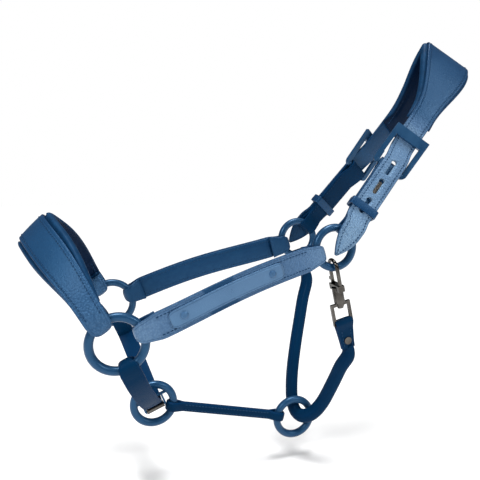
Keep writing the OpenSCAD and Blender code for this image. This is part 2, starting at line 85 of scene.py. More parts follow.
# Sizes in millimetres and degrees, most of them the CAD's. A strap's angle is measured from the
# halter's +X, at the ring that the strap starts from. _W is a width, _L a length, _T a thickness,
# _R a radius, and _X a place along its strap.

# Rings, the loops of strap round them, and leather's layers
SIDE_R = 23.25
RING_R = 20.25
LOOP_R = 6.9
LOOP_SET = 0.12
LAYER = 3
FOLD = 2.5
PAD_T = 7.5

# Crown, and each side's billet, chape, buckle bar and keeper
CROWN_ANGLE = 50
CROWN_LEAN = 6.5
CROWN_YAW = 17
TOP_YAW = 12
CROWN_SET = 11
CROWN_TOP = 264
CROWN_POWER = 1.75
CROWN_W = 57
CROWN_PAD_W = 66
CROWN_PAD_END_W = 30
CROWN_PAD_X = 168
CROWN_EASE = 4.5
BILLET_W = 25
BILLET_IN = 2.8
BILLET_DIP = 5.6
BEND_X = 130
TIP_X = -29
TIP_L = 32
SLOT_X = 58
SLOT_PITCH = 25
SLOT_CUT = 14
CHAPE_W = 25.5
CHAPE_END_W = 19
BAR_X = 87
BAR_DROP = 2.9
BAR_R = 2.5
KEEPER_X = 30
KEEPER_W = 8.6

# Cheeks and the blank plate on the near one
CHEEK_LEN = 226
CHEEK_ANGLE = 18
CHEEK_W = 18.5
CHEEK_MID = 23.5
CHEEK_RISE = 3.5
CHEEK_SHIFT = 2.5
CHEEK_BULGE = 2
PLATE_S = 105
PLATE_L = 116
PLATE_T = 1.6
PLATE_MARGIN = 7

# Noseband and its pad
NOSE_ANGLE = 127
NOSE_TOP = 120
NOSE_BEND = 31.25
NOSE_POWER = 1.35
NOSE_BOW = 3.5
NOSE_YAW = 9
NOSE_END_W = 21
NOSE_W = 30
NOSE_PAD_W = 42
NOSE_EASE = 4.0
NOSE_SAG = 1.8

# Chin and jaw straps
CHIN_ANGLE = -68
CHIN_TOP = 95.1
CHIN_POWER = 1.32
CHIN_T = 4
CHIN_W = 18
CHIN_SAG = 1.4
JAW_W = 9.5

# Snap, its loop, the far ring's loop, and the throat strap between the two
SNAP_AT = -92
SNAP_ANGLE = -76
SNAP_LEAN = 3
EYE_S = 61
EYE_R = 1.7
FOLD_W = 15
FOLD_L = 29
LOOP_ANGLE = -75
LOOP_W = 15
LOOP_L = 21
THROAT_W = 15
THROAT_T = 11
THROAT_END_W = 14
THROAT_EASE = 5.0

# A stitch's rings of points: place along its length, and share of its thickness
STITCH = [(-0.5, 0.35), (-0.34, 1.0), (0.34, 1.0), (0.5, 0.35)]
STITCH_SIDES = 6
STITCH_R = 0.42

# Places in metres: the camera, the point that the lights aim at, and the gap under the halter
CAMERA_AT = (-0.385604, -0.467796, -0.142040)
MIDDLE = (-0.21, 0.0, -0.2)
FLOOR_GAP = 0.022


# ---------- curves and frames ----------

def smooth(t):
    t = min(1.0, max(0.0, t))
    return t * t * (3 - 2 * t)


def mix(a, b, t):
    return a + (b - a) * t


def sind(a):
    return math.sin(math.radians(a))


def cosd(a):
    return math.cos(math.radians(a))


def unit(v):
    return v / np.linalg.norm(v, axis=-1, keepdims=True)


def along(point, angle, side=1):
    """Maps points of a strap's own frame to the halter's; side -1 mirrors to the near side."""
    axes = np.array([[cosd(angle), 0, sind(angle)], [0, side, 0], [-sind(angle), 0, cosd(angle)]])
    origin = np.array([point[0], 0, point[2]])
    return lambda p: origin + np.asarray(p, float) @ axes


def turned(place, origin, lean, yaw=0):
    """A frame inside another: moved to origin, leaned about z, then turned about its own x."""
    lean_axes = np.array([[cosd(lean), sind(lean), 0], [-sind(lean), cosd(lean), 0], [0, 0, 1]])
    yaw_axes = np.array([[1, 0, 0], [0, cosd(yaw), sind(yaw)], [0, -sind(yaw), cosd(yaw)]])
    return lambda p: place(np.asarray(origin, float) + np.asarray(p, float) @ yaw_axes @ lean_axes)


def tangents(points, closed=False):
    if closed:
        return unit(np.roll(points, -1, 0) - np.roll(points, 1, 0))
    return unit(np.gradient(points, axis=0))


def resample(points, step):
    """Even steps along a polyline of any columns; the first three are its position."""
    points = np.asarray(points, float)
    lengths = np.linalg.norm(np.diff(points[:, :3], axis=0), axis=1)
    at = np.concatenate([[0], np.cumsum(lengths)])
    n = max(2, int(round(at[-1] / step)) + 1)
    s = np.linspace(0, at[-1], n)
    return np.stack([np.interp(s, at, points[:, k]) for k in range(points.shape[1])], 1)


def softened(rows, sigma, step=2.5):
    """Even rows along a path, its bends eased over about sigma millimetres; the ends stay put."""
    rows = resample(rows, step)
    reach = int(3 * sigma / step)
    kernel = np.exp(-0.5 * (np.arange(-reach, reach + 1) * step / sigma) ** 2)
    kernel /= kernel.sum()
    before = 2 * rows[:1] - rows[reach:0:-1]
    after = 2 * rows[-1:] - rows[-2:-reach - 2:-1]
    padded = np.concatenate([before, rows, after])
    return np.stack([np.convolve(padded[:, k], kernel, "valid") for k in range(rows.shape[1])], 1)


def line_frames(line):
    """Points, across directions and widths for rows of x, y, z, yaw, width."""
    line = np.asarray(line, float)
    flat = line[:, :2]
    t = unit(np.gradient(flat, axis=0))
    n = np.stack([-t[:, 1], t[:, 0]], 1)
    yaw = np.radians(line[:, 3])[:, None]
    across = np.concatenate([-n * np.sin(yaw), np.cos(yaw)], 1)
    return line[:, :3], across, line[:, 4]


# ---------- meshes ----------

def closed_mesh(name, points, faces):
    """A mesh in metres from points in millimetres, with its faces turned outward."""
    mesh = bpy.data.meshes.new(name)
    mesh.from_pydata([tuple(p) for p in np.asarray(points) * MM], [], faces)
    work = bmesh.new()
    work.from_mesh(mesh)
    bmesh.ops.recalc_face_normals(work, faces=work.faces)
    work.to_mesh(mesh)
    work.free()
    return mesh


def make(name, points, faces, material, body, slot, replaces=(), shade=None, plain=None):
    """A piece of the halter; shade and plain are the values per point that leather reads."""
    mesh = closed_mesh(name, points, faces)
    for attribute_name, values in (("edge", shade), ("plain", plain)):
        if values is not None:
            layer = mesh.attributes.new(attribute_name, "FLOAT", "POINT")
            layer.data.foreach_set("value", np.asarray(values, np.float32))
    for face in mesh.polygons:
        face.use_smooth = True
    mesh.materials.append(material)
    obj = bpy.data.objects.new(name, mesh)
    bpy.context.scene.collection.objects.link(obj)
    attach(obj, body)
    for node in replaces:
        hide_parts(node)
    return obj


def tube_faces(rings, sides, closed):
    """Faces of a tube of rings of points, joined end to end if closed, or else capped."""
    faces = []
    for i in range(rings if closed else rings - 1):
        j = (i + 1) % rings
        for k in range(sides):
            m = (k + 1) % sides
            faces.append((i * sides + k, i * sides + m, j * sides + m, j * sides + k))
    if not closed:
        faces.append(tuple(range(sides)))
        faces.append(tuple((rings - 1) * sides + k for k in range(sides)))
    return faces


def sweep(name, place, points, across, widths, section, look, closed=False, plain=1.0):
    """A solid strap: section(width, t) gives its outline as rows of across, outward and edge shade.

    plain says how smooth the outer face is: 0 where it is fully grained, 1 where it is satin; the
    leather's tones follow it, so it also places painted sheen and painted shade.
    The inner face is always satin.
    """
    points = np.asarray(points, float)
    t = tangents(points, closed)
    out = unit(np.cross(across, t))
    wide = np.cross(t, out)
    n = len(points)
    plain = np.broadcast_to(plain, n)
    rings, shade, plains = [], [], []
    for i in range(n):
        outline = section(widths[i], i / (n - 1))
        outward = outline[:, 1:2]
        inner = outline[:, 1] < (outline[:, 1].min() + outline[:, 1].max()) / 2
        rings.append(points[i] + outline[:, :1] * wide[i] + outward * out[i])
        shade.extend(outline[:, 2])
        plains.extend(np.where(inner, 1.0, plain[i]))
    faces = tube_faces(n, len(rings[0]), closed)
    return make(name, place(np.concatenate(rings)), faces, shade=shade, plain=plains, **look)


def strap_section(a, b, crease, dome, depth=0.3, round_r=0.9):
    """A flat strap from a to b outward, with rounded edges, a domed face and a line pressed in
    crease inside each edge."""
    def section(width, _):
        h = width / 2
        r = min(round_r, (b - a) * 0.45, h * 0.5)
        c = min(crease, h * 0.5)
        g = min(0.55, c * 0.3)
        rows = []
        # The rounded edges are darkened for their dye and for painted shade.
        for k in range(4):
            q = k * 30
            rows.append([h - r + r * cosd(q), b - r + r * sind(q), 1 - 0.2 * k])
        # The pressed line is painted in shade, and the face grows a little darker towards its sides:
        # painted shade.
        face = [h - c + 1.7 * g, h - c + g, h - c, h - c - g, h - c - 2.4 * g, (h - c) * 0.45]
        for u in face:
            groove = depth if u == face[2] else 0
            lift = dome * (1 - (u / h) ** 2)
            rows.append([u, b + lift - groove, 0.55 if groove else 0.12 * (u / h) ** 2])
        rows.append([0, b + dome, 0])
        right = [row for row in rows if row[0] > 0]
        left = [[-u, v, e] for u, v, e in reversed(right)]
        # The inner face and its edges are painted in shade.
        low = []
        for k in range(4):
            q = k * 30
            low.append([-(h - r) - r * cosd(q), a + r - r * sind(q), 1 - 0.05 * k])
        low.append([0, a, 0.9])
        back = [[-u, v, e] for u, v, e in reversed(low[:-1])]
        return np.array(rows + left + low + back)
    return section


def pad_section(depth_at, lip, seam_at):
    """A stuffed lining: rolled edges that stand up beside the strap, and a crowned inner face."""
    def section(width, t):
        h = width / 2
        d = depth_at(t)
        r = d * 0.5
        inset = min(seam_at, h * 0.5)
        rows = []
        # Edge shade marks the rolled edges, which keep the pad's own blue; the inner face keeps the
        # padding's colour painted in shade.
        for k in range(9):
            q = 80 - k * 20
            rise = lip * max(0, sind(q)) + r * sind(q)
            rows.append([h - r + r * cosd(q), -r + rise, smooth((q + 75) / 60)])
        for k in range(1, 7):
            u = (h - r) * (1 - k / 6)
            crown = 0.10 * d * math.sin(math.pi * (1 - u / h) / 2)
            channel = 0.16 * d * math.exp(-(((h - u) - inset) / 1.3) ** 2)
            rows.append([u, -d * 0.93 - crown + channel, 0])
        left = [[-u, v, e] for u, v, e in reversed(rows[:-1])]
        top = [[-(h - inset), -0.05, 0.9], [0, -0.05, 0.2], [h - inset, -0.05, 0.9]]
        return np.array(rows + left + top)
    return section


def pad_depth(end, share):
    """A pad's depth along it: end of its full depth at both ends, and full past share of its length."""
    return lambda t: PAD_T * mix(end, 1, smooth(min(t, 1 - t) / share))


def stitch_points(middle, reach, lay, up):
    """One stitch's points: a short flattened bead along reach."""
    points = []
    for f, r in STITCH:
        for k in range(STITCH_SIDES):
            a = 2 * math.pi * k / STITCH_SIDES
            flat = lay * math.cos(a) * STITCH_R * r * 1.15 + up * math.sin(a) * STITCH_R * r
            points.append(middle + reach * f + flat)
    return points


def stitches(name, place, points, across, off, lift, look, pitch=3.5, length=2.5):
    """Two sewn rows, off to each side of a strap's middle and lift outward from it."""
    t = tangents(points)
    out = unit(np.cross(across, t))
    wide = np.cross(t, out)
    off = np.broadcast_to(off, len(points))[:, None]
    bead = tube_faces(len(STITCH), STITCH_SIDES, False)
    verts, faces = [], []
    for side in (1, -1):
        path = points + wide * (side * off) + out * lift
        row = resample(np.concatenate([path, out], 1), pitch)
        heading = tangents(row[:, :3])
        for i in range(len(row) - 1):
            middle = (row[i, :3] + row[i + 1, :3]) / 2
            up = unit(row[i, 3:6])
            lay = unit(np.cross(heading[i], up))
            base = len(verts)
            verts += stitch_points(middle, heading[i] * length, lay, up)
            faces += [tuple(base + f for f in face) for face in bead]
    return make(name, place(np.array(verts)), faces, **look)


# ---------- materials ----------

def dial(n, **inputs):
    """Sets a node's own inputs; an underscore in a keyword stands for a space."""
    for key, value in inputs.items():
        n.inputs[key.replace("_", " ")].default_value = value


def node(tree, kind, **inputs):
    n = tree.nodes.new(kind)
    dial(n, **inputs)
    return n


def colour_ramp(tree, source, stops):
    ramp = tree.nodes.new("ShaderNodeValToRGB")
    tree.links.new(source, ramp.inputs["Fac"])
    while len(ramp.color_ramp.elements) < len(stops):
        ramp.color_ramp.elements.new(0.5)
    for element, (at, colour) in zip(ramp.color_ramp.elements, stops):
        element.position = at
        element.color = (*colour, 1)
    return ramp.outputs["Color"]


def feed(tree, socket, value):
    """Sets an input to a number or a colour, or links it to another node's output."""
    if isinstance(value, bpy.types.NodeSocket):
        tree.links.new(value, socket)
    elif isinstance(value, tuple):
        socket.default_value = (*value, 1)
    else:
        socket.default_value = value


def maths(tree, operation, a, b):
    n = tree.nodes.new("ShaderNodeMath")
    n.operation = operation
    feed(tree, n.inputs[0], a)
    feed(tree, n.inputs[1], b)
    return n.outputs[0]


def blended(tree, how, fac, a, b):
    """Colour b laid over colour a, by fac."""
    n = tree.nodes.new("ShaderNodeMix")
    n.data_type = "RGBA"
    n.blend_type = how
    feed(tree, n.inputs[0], fac)
    feed(tree, n.inputs[6], a)
    feed(tree, n.inputs[7], b)
    return n.outputs[2]


def attribute(tree, name):
    n = tree.nodes.new("ShaderNodeAttribute")
    n.attribute_name = name
    return n.outputs["Fac"]


def bumped(tree, shader, height, strength, distance):
    bump = node(tree, "ShaderNodeBump", Strength=strength, Distance=distance)
    tree.links.new(height, bump.inputs["Height"])
    tree.links.new(bump.outputs["Normal"], shader.inputs["Normal"])


def new_material(name):
    """A material, its nodes, its shader, and the position that its textures follow."""
    m = bpy.data.materials.new(name)
    m.use_nodes = True
    tree = m.node_tree
    return m, tree, tree.nodes["Principled BSDF"], tree.nodes.new("ShaderNodeTexCoord").outputs["Object"]


def hide_textures(tree, where, grain):
    """Patches, pores, a noise that breaks up the edges' dye and painted shade, and the grain's cells."""
    cloud = node(tree, "ShaderNodeTexNoise", Scale=30.0, Detail=5.0, Roughness=0.6)
    fine = node(tree, "ShaderNodeTexNoise", Scale=1500.0, Detail=3.0, Roughness=0.6)
    edge_shade_noise = node(tree, "ShaderNodeTexNoise", Scale=140.0, Detail=2.0)
    cells = node(tree, "ShaderNodeTexVoronoi", Scale=grain, Randomness=0.95)
    cells.feature = "SMOOTH_F1"
    cells.inputs["Smoothness"].default_value = 0.4
    for n in (cloud, fine, edge_shade_noise, cells):
        tree.links.new(where, n.inputs["Vector"])
    return cloud.outputs["Fac"], fine.outputs["Fac"], edge_shade_noise.outputs["Fac"], cells.outputs["Distance"]


def leather(name, tones, grain=520.0, relief=1.0, rough=0.40, shine=0.75, edge=(0.0, 0.022, 0.075)):
    """Leather whose colour and grain follow how plain the hide is.

    tones are its colours where it is grained, between, and satin: the grained tones are lighter, which
    paints the sheen that grain shows in light, and the satin tones darker, which also serve as painted
    shade. edge is the colour that the edge shade mixes in: dye on cut edges and painted shade in creases
    and on inner faces, or, on padding, its own blue on the rolled edges.
    """
    m, tree, shader, where = new_material(name)
    cloud, fine, edge_shade_noise, cells = hide_textures(tree, where, grain)
    smoothness = attribute(tree, "plain")
    coarse = maths(tree, "SUBTRACT", 1.15, smoothness)
    bright = (1.08, 1.07, 1.06)
    base = colour_ramp(tree, smoothness, list(zip((0.0, 0.4, 1.0), tones)))
    patches = colour_ramp(tree, cloud, [(0.3, (0.88, 0.90, 0.92)), (0.72, bright)])
    valleys = colour_ramp(tree, cells, [(0.15, bright), (0.75, (0.62, 0.68, 0.75))])
    patched = blended(tree, "MULTIPLY", 1.0, base, patches)
    coloured = blended(tree, "MULTIPLY", maths(tree, "MULTIPLY", coarse, 0.85), patched, valleys)
    # Edge shade, broken up by noise, mixes in the edge colour: dye on cut edges, painted shade in creases
    # and on inner faces.
    edge_tone_and_shade = maths(tree, "MULTIPLY", attribute(tree, "edge"), maths(tree, "ADD", edge_shade_noise, 0.3))
    tree.links.new(blended(tree, "MIX", edge_tone_and_shade, coloured, edge), shader.inputs["Base Color"])
    gloss = [(0.3, (rough - 0.06,) * 3), (0.75, (rough + 0.10,) * 3)]
    tree.links.new(colour_ramp(tree, cloud, gloss), shader.inputs["Roughness"])
    pebbles = maths(tree, "MULTIPLY", cells, maths(tree, "MULTIPLY", coarse, -1.0))
    height = maths(tree, "ADD", pebbles, maths(tree, "MULTIPLY", fine, 0.2))
    bumped(tree, shader, height, relief, 0.0009)
    dial(shader, Specular_IOR_Level=shine, Specular_Tint=(0.22, 0.50, 0.85, 1),
         Coat_Weight=0.03, Coat_Roughness=0.3)
    return m


def metal(name, colour, dark, low, high, metallic=0.0, scratch=600.0, depth=0.12, coat=0.0):
    """Bare or coated metal, clouded from dark to colour; its roughness goes from low to high."""
    m, tree, shader, where = new_material(name)
    cloud = node(tree, "ShaderNodeTexNoise", Scale=55.0, Detail=5.0, Roughness=0.6)
    fine = node(tree, "ShaderNodeTexNoise", Scale=scratch, Detail=3.0, Roughness=0.7)
    for n in (cloud, fine):
        tree.links.new(where, n.inputs["Vector"])
    tones = colour_ramp(tree, cloud.outputs["Fac"], [(0.32, dark), (0.62, colour)])
    tree.links.new(tones, shader.inputs["Base Color"])
    both = maths(tree, "ADD", maths(tree, "MULTIPLY", fine.outputs["Fac"], 0.4), cloud.outputs["Fac"])
    gloss = colour_ramp(tree, both, [(0.4, (low,) * 3), (0.95, (high,) * 3)])
    tree.links.new(gloss, shader.inputs["Roughness"])
    bumped(tree, shader, fine.outputs["Fac"], depth, 0.0003)
    dial(shader, Metallic=metallic, Coat_Weight=coat, Coat_Roughness=0.2)
    if not metallic:
        dial(shader, Specular_IOR_Level=0.8, Specular_Tint=(0.25, 0.52, 0.85, 1))
    return m


def thread_material():
    m, tree, shader, where = new_material("thread")
    twist = node(tree, "ShaderNodeTexWave", Scale=900.0, Distortion=1.5)
    twist.bands_direction = "DIAGONAL"
    tree.links.new(where, twist.inputs["Vector"])
    stops = [(0.2, (0.004, 0.026, 0.075)), (0.8, (0.016, 0.060, 0.135))]
    tree.links.new(colour_ramp(tree, twist.outputs["Fac"], stops), shader.inputs["Base Color"])
    bumped(tree, shader, twist.outputs["Fac"], 0.4, 0.0002)
    dial(shader, Roughness=0.6, Specular_IOR_Level=0.1)
    return m


# Grained tones are lighter, to paint the sheen that grain shows in light.
GRAINED = leather("grained leather", [(0.19, 0.30, 0.43), (0.08, 0.150, 0.265), (0.005, 0.036, 0.098)])
SATIN = leather("satin leather", [(0.045, 0.110, 0.215), (0.022, 0.070, 0.155), (0.006, 0.042, 0.110)])
PLATE = leather("plate leather", [(0.085, 0.160, 0.275)] * 3,
                grain=1500.0, relief=0.4, rough=0.3, shine=1.0)
LINING = leather("lining leather", [(0.020, 0.075, 0.16)] * 2 + [(0.008, 0.048, 0.120)], grain=1300.0)
# Padding painted nearly black, as the shade inside the halter; its edge colour is the pad's own blue, for
# the rolled edges.
SHADED_PADDING = leather("padding painted in shade", [(0.001, 0.008, 0.030)] * 2 + [(0.0, 0.006, 0.026)],
                  grain=1200.0, rough=0.55, shine=0.2, edge=(0.006, 0.042, 0.110))
# Leather painted darker, as shade, for the chin, jaw and throat straps with their loops and for the far
# chape.
SHADED_LEATHER = leather("leather painted in shade", [(0.006, 0.035, 0.09)] * 2 + [(0.000, 0.020, 0.060)],
                 grain=1100.0, rough=0.6, shine=0.12)
COATED = metal("coated wire", (0.010, 0.048, 0.115), (0.005, 0.034, 0.090), 0.24, 0.42, coat=0.04)
# Rivets painted lighter than the rings, as their highlight.
HIGHLIGHTED_RIVET = metal("coated rivet painted with highlight", (0.045, 0.105, 0.205), (0.03, 0.08, 0.17), 0.2, 0.36, coat=0.1)
STEEL = metal("gunmetal", (0.115, 0.108, 0.098), (0.032, 0.029, 0.027), 0.11, 0.24,
              metallic=1.0, scratch=2500.0, depth=0.03)
THREAD = thread_material()


def look(material, body, slot, replaces=()):
    """What a piece is made of, the body it rides on, its slot, which make does not use, and the CAD nodes
    it stands for.
    """
    return {"material": material, "body": body, "slot": slot, "replaces": replaces}


# ---------- crown ----------

def on_line(x, t):
    """The billet's straight line at x, and t outward from it."""
    return [RING_R + x * cosd(CROWN_LEAN) + t * sind(CROWN_LEAN),
            CROWN_HALF - x * sind(CROWN_LEAN) + t * cosd(CROWN_LEAN)]


BEND = on_line(BEND_X, BILLET_IN - BILLET_DIP)


def billet_lift(x):
    """How far the billet's inner face lies out from the straight line at x."""
    low = mix(LOOP_R + 0.3, BILLET_IN, smooth((x - 6) / 14))
    return low - BILLET_DIP * smooth((x - BAR_X - 5) / 24)


def billet_turn(x):
    return CROWN_YAW * smooth((x - 1) / 19)


def crown_y(s):
    t = min(1.0, (s - BEND[0]) / (CROWN_TOP - BEND[0]))
    return BEND[1] * (1 - max(0.0, t) ** CROWN_POWER) ** (1 / CROWN_POWER)


def crown_q(s):
    return CROWN_SET * max(0.0, (s - BEND_X) / (CROWN_TOP - BEND_X)) ** 2.4


def crown_turn(s):
    return mix(CROWN_YAW, TOP_YAW, smooth((s - BEND[0]) / (CROWN_TOP - BEND[0])))


def over_top(start, narrow, wide, widen_from, widen_to, steps=44):
    """Far side's rows from start up to the crown's top, widening on the way."""
    rows = []
    for i in range(steps + 1):
        s = start + (CROWN_TOP - start) * sind(90 * i / steps)
        w = mix(narrow, wide, smooth((s - widen_from) / (widen_to - widen_from)))
        rows.append([s, crown_y(s), crown_q(s), crown_turn(s), w])
    return rows


def mirrored(rows):
    """The same rows of x, y, z, yaw, width on the other side, from the far end back."""
    return [[r[0], -r[1], *r[2:]] for r in reversed(rows)]


def over(half):
    """Half a strap's rows, up to its top, joined to the other half's."""
    return half[:-1] + mirrored(half)


def billet_rows():
    """The far billet's rows, from its rounded tip up to where the crown bends."""
    rows = []
    for x in np.arange(TIP_X, BEND_X - 2.5, 1.75):
        grow = min(90, 90 * (x - TIP_X + 1.2) / TIP_L)
        p = on_line(x, billet_lift(x))
        rows.append([p[0], p[1], crown_q(p[0]), billet_turn(x), BILLET_W * sind(grow) ** 0.85])
    return rows


def keyhole():
    """Outline of a billet's slot: a slit with a round hole at its upper end."""
    half, r, start, end = 2.2, 2.9, -7.3, 7.0
    rows = [[start + half * cosd(q), half * sind(q)] for q in np.linspace(90, 270, 13)]
    meet = math.degrees(math.asin(half / r))
    rows += [[end + r * cosd(q), r * sind(q)] for q in np.linspace(-180 + meet, 180 - meet, 21)]
    return np.array(rows)


def cut(obj, places, outline):
    """Cuts a prism out of a piece at each place; outline is its rows of x and z."""
    verts, faces = [], []
    n = len(outline)
    for place in places:
        base = len(verts)
        for y in (-SLOT_CUT, SLOT_CUT):
            verts.extend(place(np.stack([outline[:, 0], np.full(n, y), outline[:, 1]], 1)))
        for k in range(n):
            m = (k + 1) % n
            faces.append((base + k, base + m, base + n + m, base + n + k))
        faces += [tuple(base + k for k in range(n)), tuple(base + n + k for k in range(n))]
    cutter = bpy.data.objects.new("cutter", closed_mesh("cutter", verts, faces))
    bpy.context.scene.collection.objects.link(cutter)
    modifier = obj.modifiers.new("slots", "BOOLEAN")
    modifier.object = cutter
    modifier.operation = "DIFFERENCE"
    modifier.solver = "EXACT"
    graph = bpy.context.evaluated_depsgraph_get()
    result = bpy.data.meshes.new_from_object(obj.evaluated_get(graph))
    obj.modifiers.clear()
    obj.data = result
    bpy.data.objects.remove(cutter)


def billet_frame(side):
    place = along(UPPER, CROWN_ANGLE, side)
    return turned(place, [RING_R, CROWN_HALF, 0], -CROWN_LEAN, CROWN_YAW)


def crown_strap():
    place = along(UPPER, CROWN_ANGLE)
    billet = billet_rows()
    arch = [billet[-1]] + over_top(BEND[0] + 2, BILLET_W, CROWN_W, widen_from=182, widen_to=CROWN_TOP - 1)
    rows = np.concatenate([billet[:-1], softened(over(arch), CROWN_EASE), mirrored(billet)[1:]])
    points, across, widths = line_frames(rows)
    # The billets take the lighter grained tone, which is painted sheen as well as grain, and the top the
    # satin tone.
    strap = sweep("crown_strap_leather", place, points, across, widths,
                  strap_section(0, LAYER, crease=2.4, dome=0.35),
                  look(GRAINED, "crown", "leather", ["crown_strap"]),
                  plain=[0.25 * smooth(s / 90) + 0.75 * smooth((s - 155) / 25) for s in points[:, 0]])
    slots = [turned(billet_frame(side), [SLOT_X + i * SLOT_PITCH, 0, 0], 0)
             for side in (-1, 1) for i in (-1, 0, 1)]
    cut(strap, slots, keyhole())
    stitches("crown_strap_stitching", place, points, across,
             widths / 2 - np.minimum(3.6, widths * 0.28), LAYER + 0.22, look(THREAD, "crown", "leather"))


def crown_padding():
    place = along(UPPER, CROWN_ANGLE)
    half = over_top(CROWN_PAD_X, CROWN_PAD_END_W, CROWN_PAD_W, widen_from=180, widen_to=CROWN_TOP - 2,
                    steps=50)
    points, across, widths = line_frames(softened(over(half), CROWN_EASE))
    pad = sweep("crown_padding", place, points, across, widths,
                pad_section(pad_depth(0.35, 0.07), lip=0.25, seam_at=5.5),
                look(SHADED_PADDING, "crown", "lining", ["crown_pad"]))
    stitches("crown_padding_stitching", place, points, across, widths / 2 - 5.0, -PAD_T * 0.86,
             look(THREAD, "crown", "lining"), pitch=4.2, length=3.0)


def chape_width(x):
    return mix(CHAPE_END_W, CHAPE_W, smooth((x - 8) / 26))


def chape_loop():
    """Rows of x and outward distance: round the ring, along the inside, round the bar and back."""
    rc = LOOP_R - FOLD / 2
    eye = BAR_R + 0.3 + FOLD / 2
    rows = [[rc * cosd(q), rc * sind(q)] for q in np.linspace(62, 298, 17)]
    rows += [[8.5, -3.0], [13, -FOLD / 2]]
    rows += [[x, -FOLD / 2] for x in np.arange(20, 76, 7)]
    rows += [[BAR_X - 6, -BAR_DROP - eye * 0.75]]
    rows += [[BAR_X + eye * cosd(q), -BAR_DROP + eye * sind(q)] for q in np.linspace(-80, 95, 13)]
    rows += [[BAR_X - 6, FOLD / 2 - 0.05]]
    rows += [[x, FOLD / 2] for x in np.arange(76, 13, -7)]
    rows += [[13, FOLD / 2], [8.5, 3.0]]
    return rows


def chape(side, name):
    """Strap folded round the ring and back round the buckle's bar, as one closed loop."""
    out = np.array([sind(CROWN_LEAN), cosd(CROWN_LEAN), 0])
    points, across, widths = [], [], []
    for x, t in chape_loop():
        yaw = billet_turn(x)
        lift = out * cosd(yaw) + np.array([0, 0, sind(yaw)])
        points.append(np.array([*on_line(x, 0), 0.0]) + t * lift)
        across.append([-out[0] * sind(yaw), -out[1] * sind(yaw), cosd(yaw)])
        widths.append(chape_width(x))
    place = along(UPPER, CROWN_ANGLE, side)
    # The far chape takes the leather painted in shade, the near one satin.
    sweep(name + "_chape_leather", place, points, -np.array(across), widths,
          strap_section(-FOLD / 2, FOLD / 2, crease=2.2, dome=0.1, depth=0.2, round_r=0.8),
          look(SHADED_LEATHER if side > 0 else SATIN, "crown", "leather", [name + "_chape"]), closed=True)
    line = [[*on_line(x, 0), 0, billet_turn(x), chape_width(x)] for x in np.arange(14, 78, 2.0)]
    points, across, widths = line_frames(line)
    stitches(name + "_chape_stitching", place, points, across, widths / 2 - 2.8, -FOLD - 0.15,
             look(THREAD, "crown", "leather"))


def keeper(side, name):
    """Leather loop round the chape and the billet."""
    half = CHAPE_W / 2 + 1.9
    low = -FOLD - 1.6
    high = BILLET_IN + LAYER + 1.6
    r = 1.8
    corners = [(high - r, half - r, 0), (low + r, half - r, 90),
               (low + r, -half + r, 180), (high - r, -half + r, 270)]
    rows = []
    for y, z, start in corners:
        rows += [[0, y + r * cosd(q), z + r * sind(q)] for q in np.linspace(start, start + 90, 6)]
    across = np.tile([1.0, 0, 0], (len(rows), 1))
    place = turned(billet_frame(side), [KEEPER_X, 0, 0], 0)
    # The far keeper takes the darker satin tone: painted shade.
    sweep(name + "_keeper_leather", place, rows, across, np.full(len(rows), KEEPER_W),
          strap_section(-1, 1, crease=1.5, dome=0.15, depth=0.2, round_r=0.6),
          look(GRAINED, name + "_keeper", "leather", [name + "_keeper"]), closed=True,
          plain=0.4 if side < 0 else 1.0)


# ---------- cheeks ----------

def cheek_t(s):
    return min(1.0, max(0.0, (s - SIDE_R) / (CHEEK_LEN - RING_R - SIDE_R)))


def cheek_y(s):
    rise = CHEEK_BULGE * sind(180 * cheek_t(s))
    return mix(NOSE_HALF, CROWN_HALF, smooth(cheek_t(s))) + LOOP_R - LOOP_SET + rise


def cheek_q(s):
    return CHEEK_RISE * sind(180 * cheek_t(s)) ** 1.5 + CHEEK_SHIFT * (1 - smooth(cheek_t(s)))


def cheek_width(s):
    from_end = min(s - SIDE_R, CHEEK_LEN - RING_R - s)
    return mix(CHEEK_W, CHEEK_MID, smooth(from_end / 16))


def folded_end(radius, y, sag, turn_back):
    """Rows of x and y from a strap's inner end, round the wire and up to its outer face.

    The strap hangs on the ring of this radius, drawn back from its middle line by sag.
    """
    rc = LOOP_R - LAYER / 2
    rows = [[turn_back, y - 0.6], [radius + 9.5, y - 1.2], [radius + 4.5, y - rc * 0.82]]
    rows += [[radius - sag + rc * cosd(q), y + rc * sind(q)] for q in np.linspace(-90, -270, 17)]
    return rows


def end_width(width, reach):
    """Width of a folded end, reach past the fold's outermost line: the corners are cut round."""
    k = min(1.0, max(0.0, reach / (0.46 * width)))
    return width * (0.38 + 0.62 * math.sqrt(1 - (1 - k) ** 2))


def fold_reach(x, radius, sag):
    return x - (radius - sag - LOOP_R + LAYER / 2)


def cheek_rows():
    """The cheek from its lower folded end, along its face, to its upper folded end."""
    low_sag, high_sag = 1.4, 1.6
    rows = folded_end(SIDE_R, NOSE_HALF, low_sag, SIDE_R + 14)
    rows += [[s, cheek_y(s) - LAYER / 2] for s in np.linspace(SIDE_R + 4, CHEEK_LEN - RING_R - 4, 60)]
    high = folded_end(RING_R, CROWN_HALF, high_sag, RING_R + 14)
    rows += [[CHEEK_LEN - x, y] for x, y in reversed(high)]
    table = []
    for x, y in rows:
        reach = min(fold_reach(x, SIDE_R, low_sag), fold_reach(CHEEK_LEN - x, RING_R, high_sag))
        table.append([x, y, cheek_q(x), 0, end_width(cheek_width(x) + 1.5, reach)])
    return table


def cheek_plain(x, y):
    """Mostly grained on the outer face, and satin where the strap is turned in past the ring."""
    ring_y = NOSE_HALF if x < CHEEK_LEN / 2 else CROWN_HALF
    return 0.3 + 0.3 * sind(180 * cheek_t(x)) if y > ring_y else 1.0


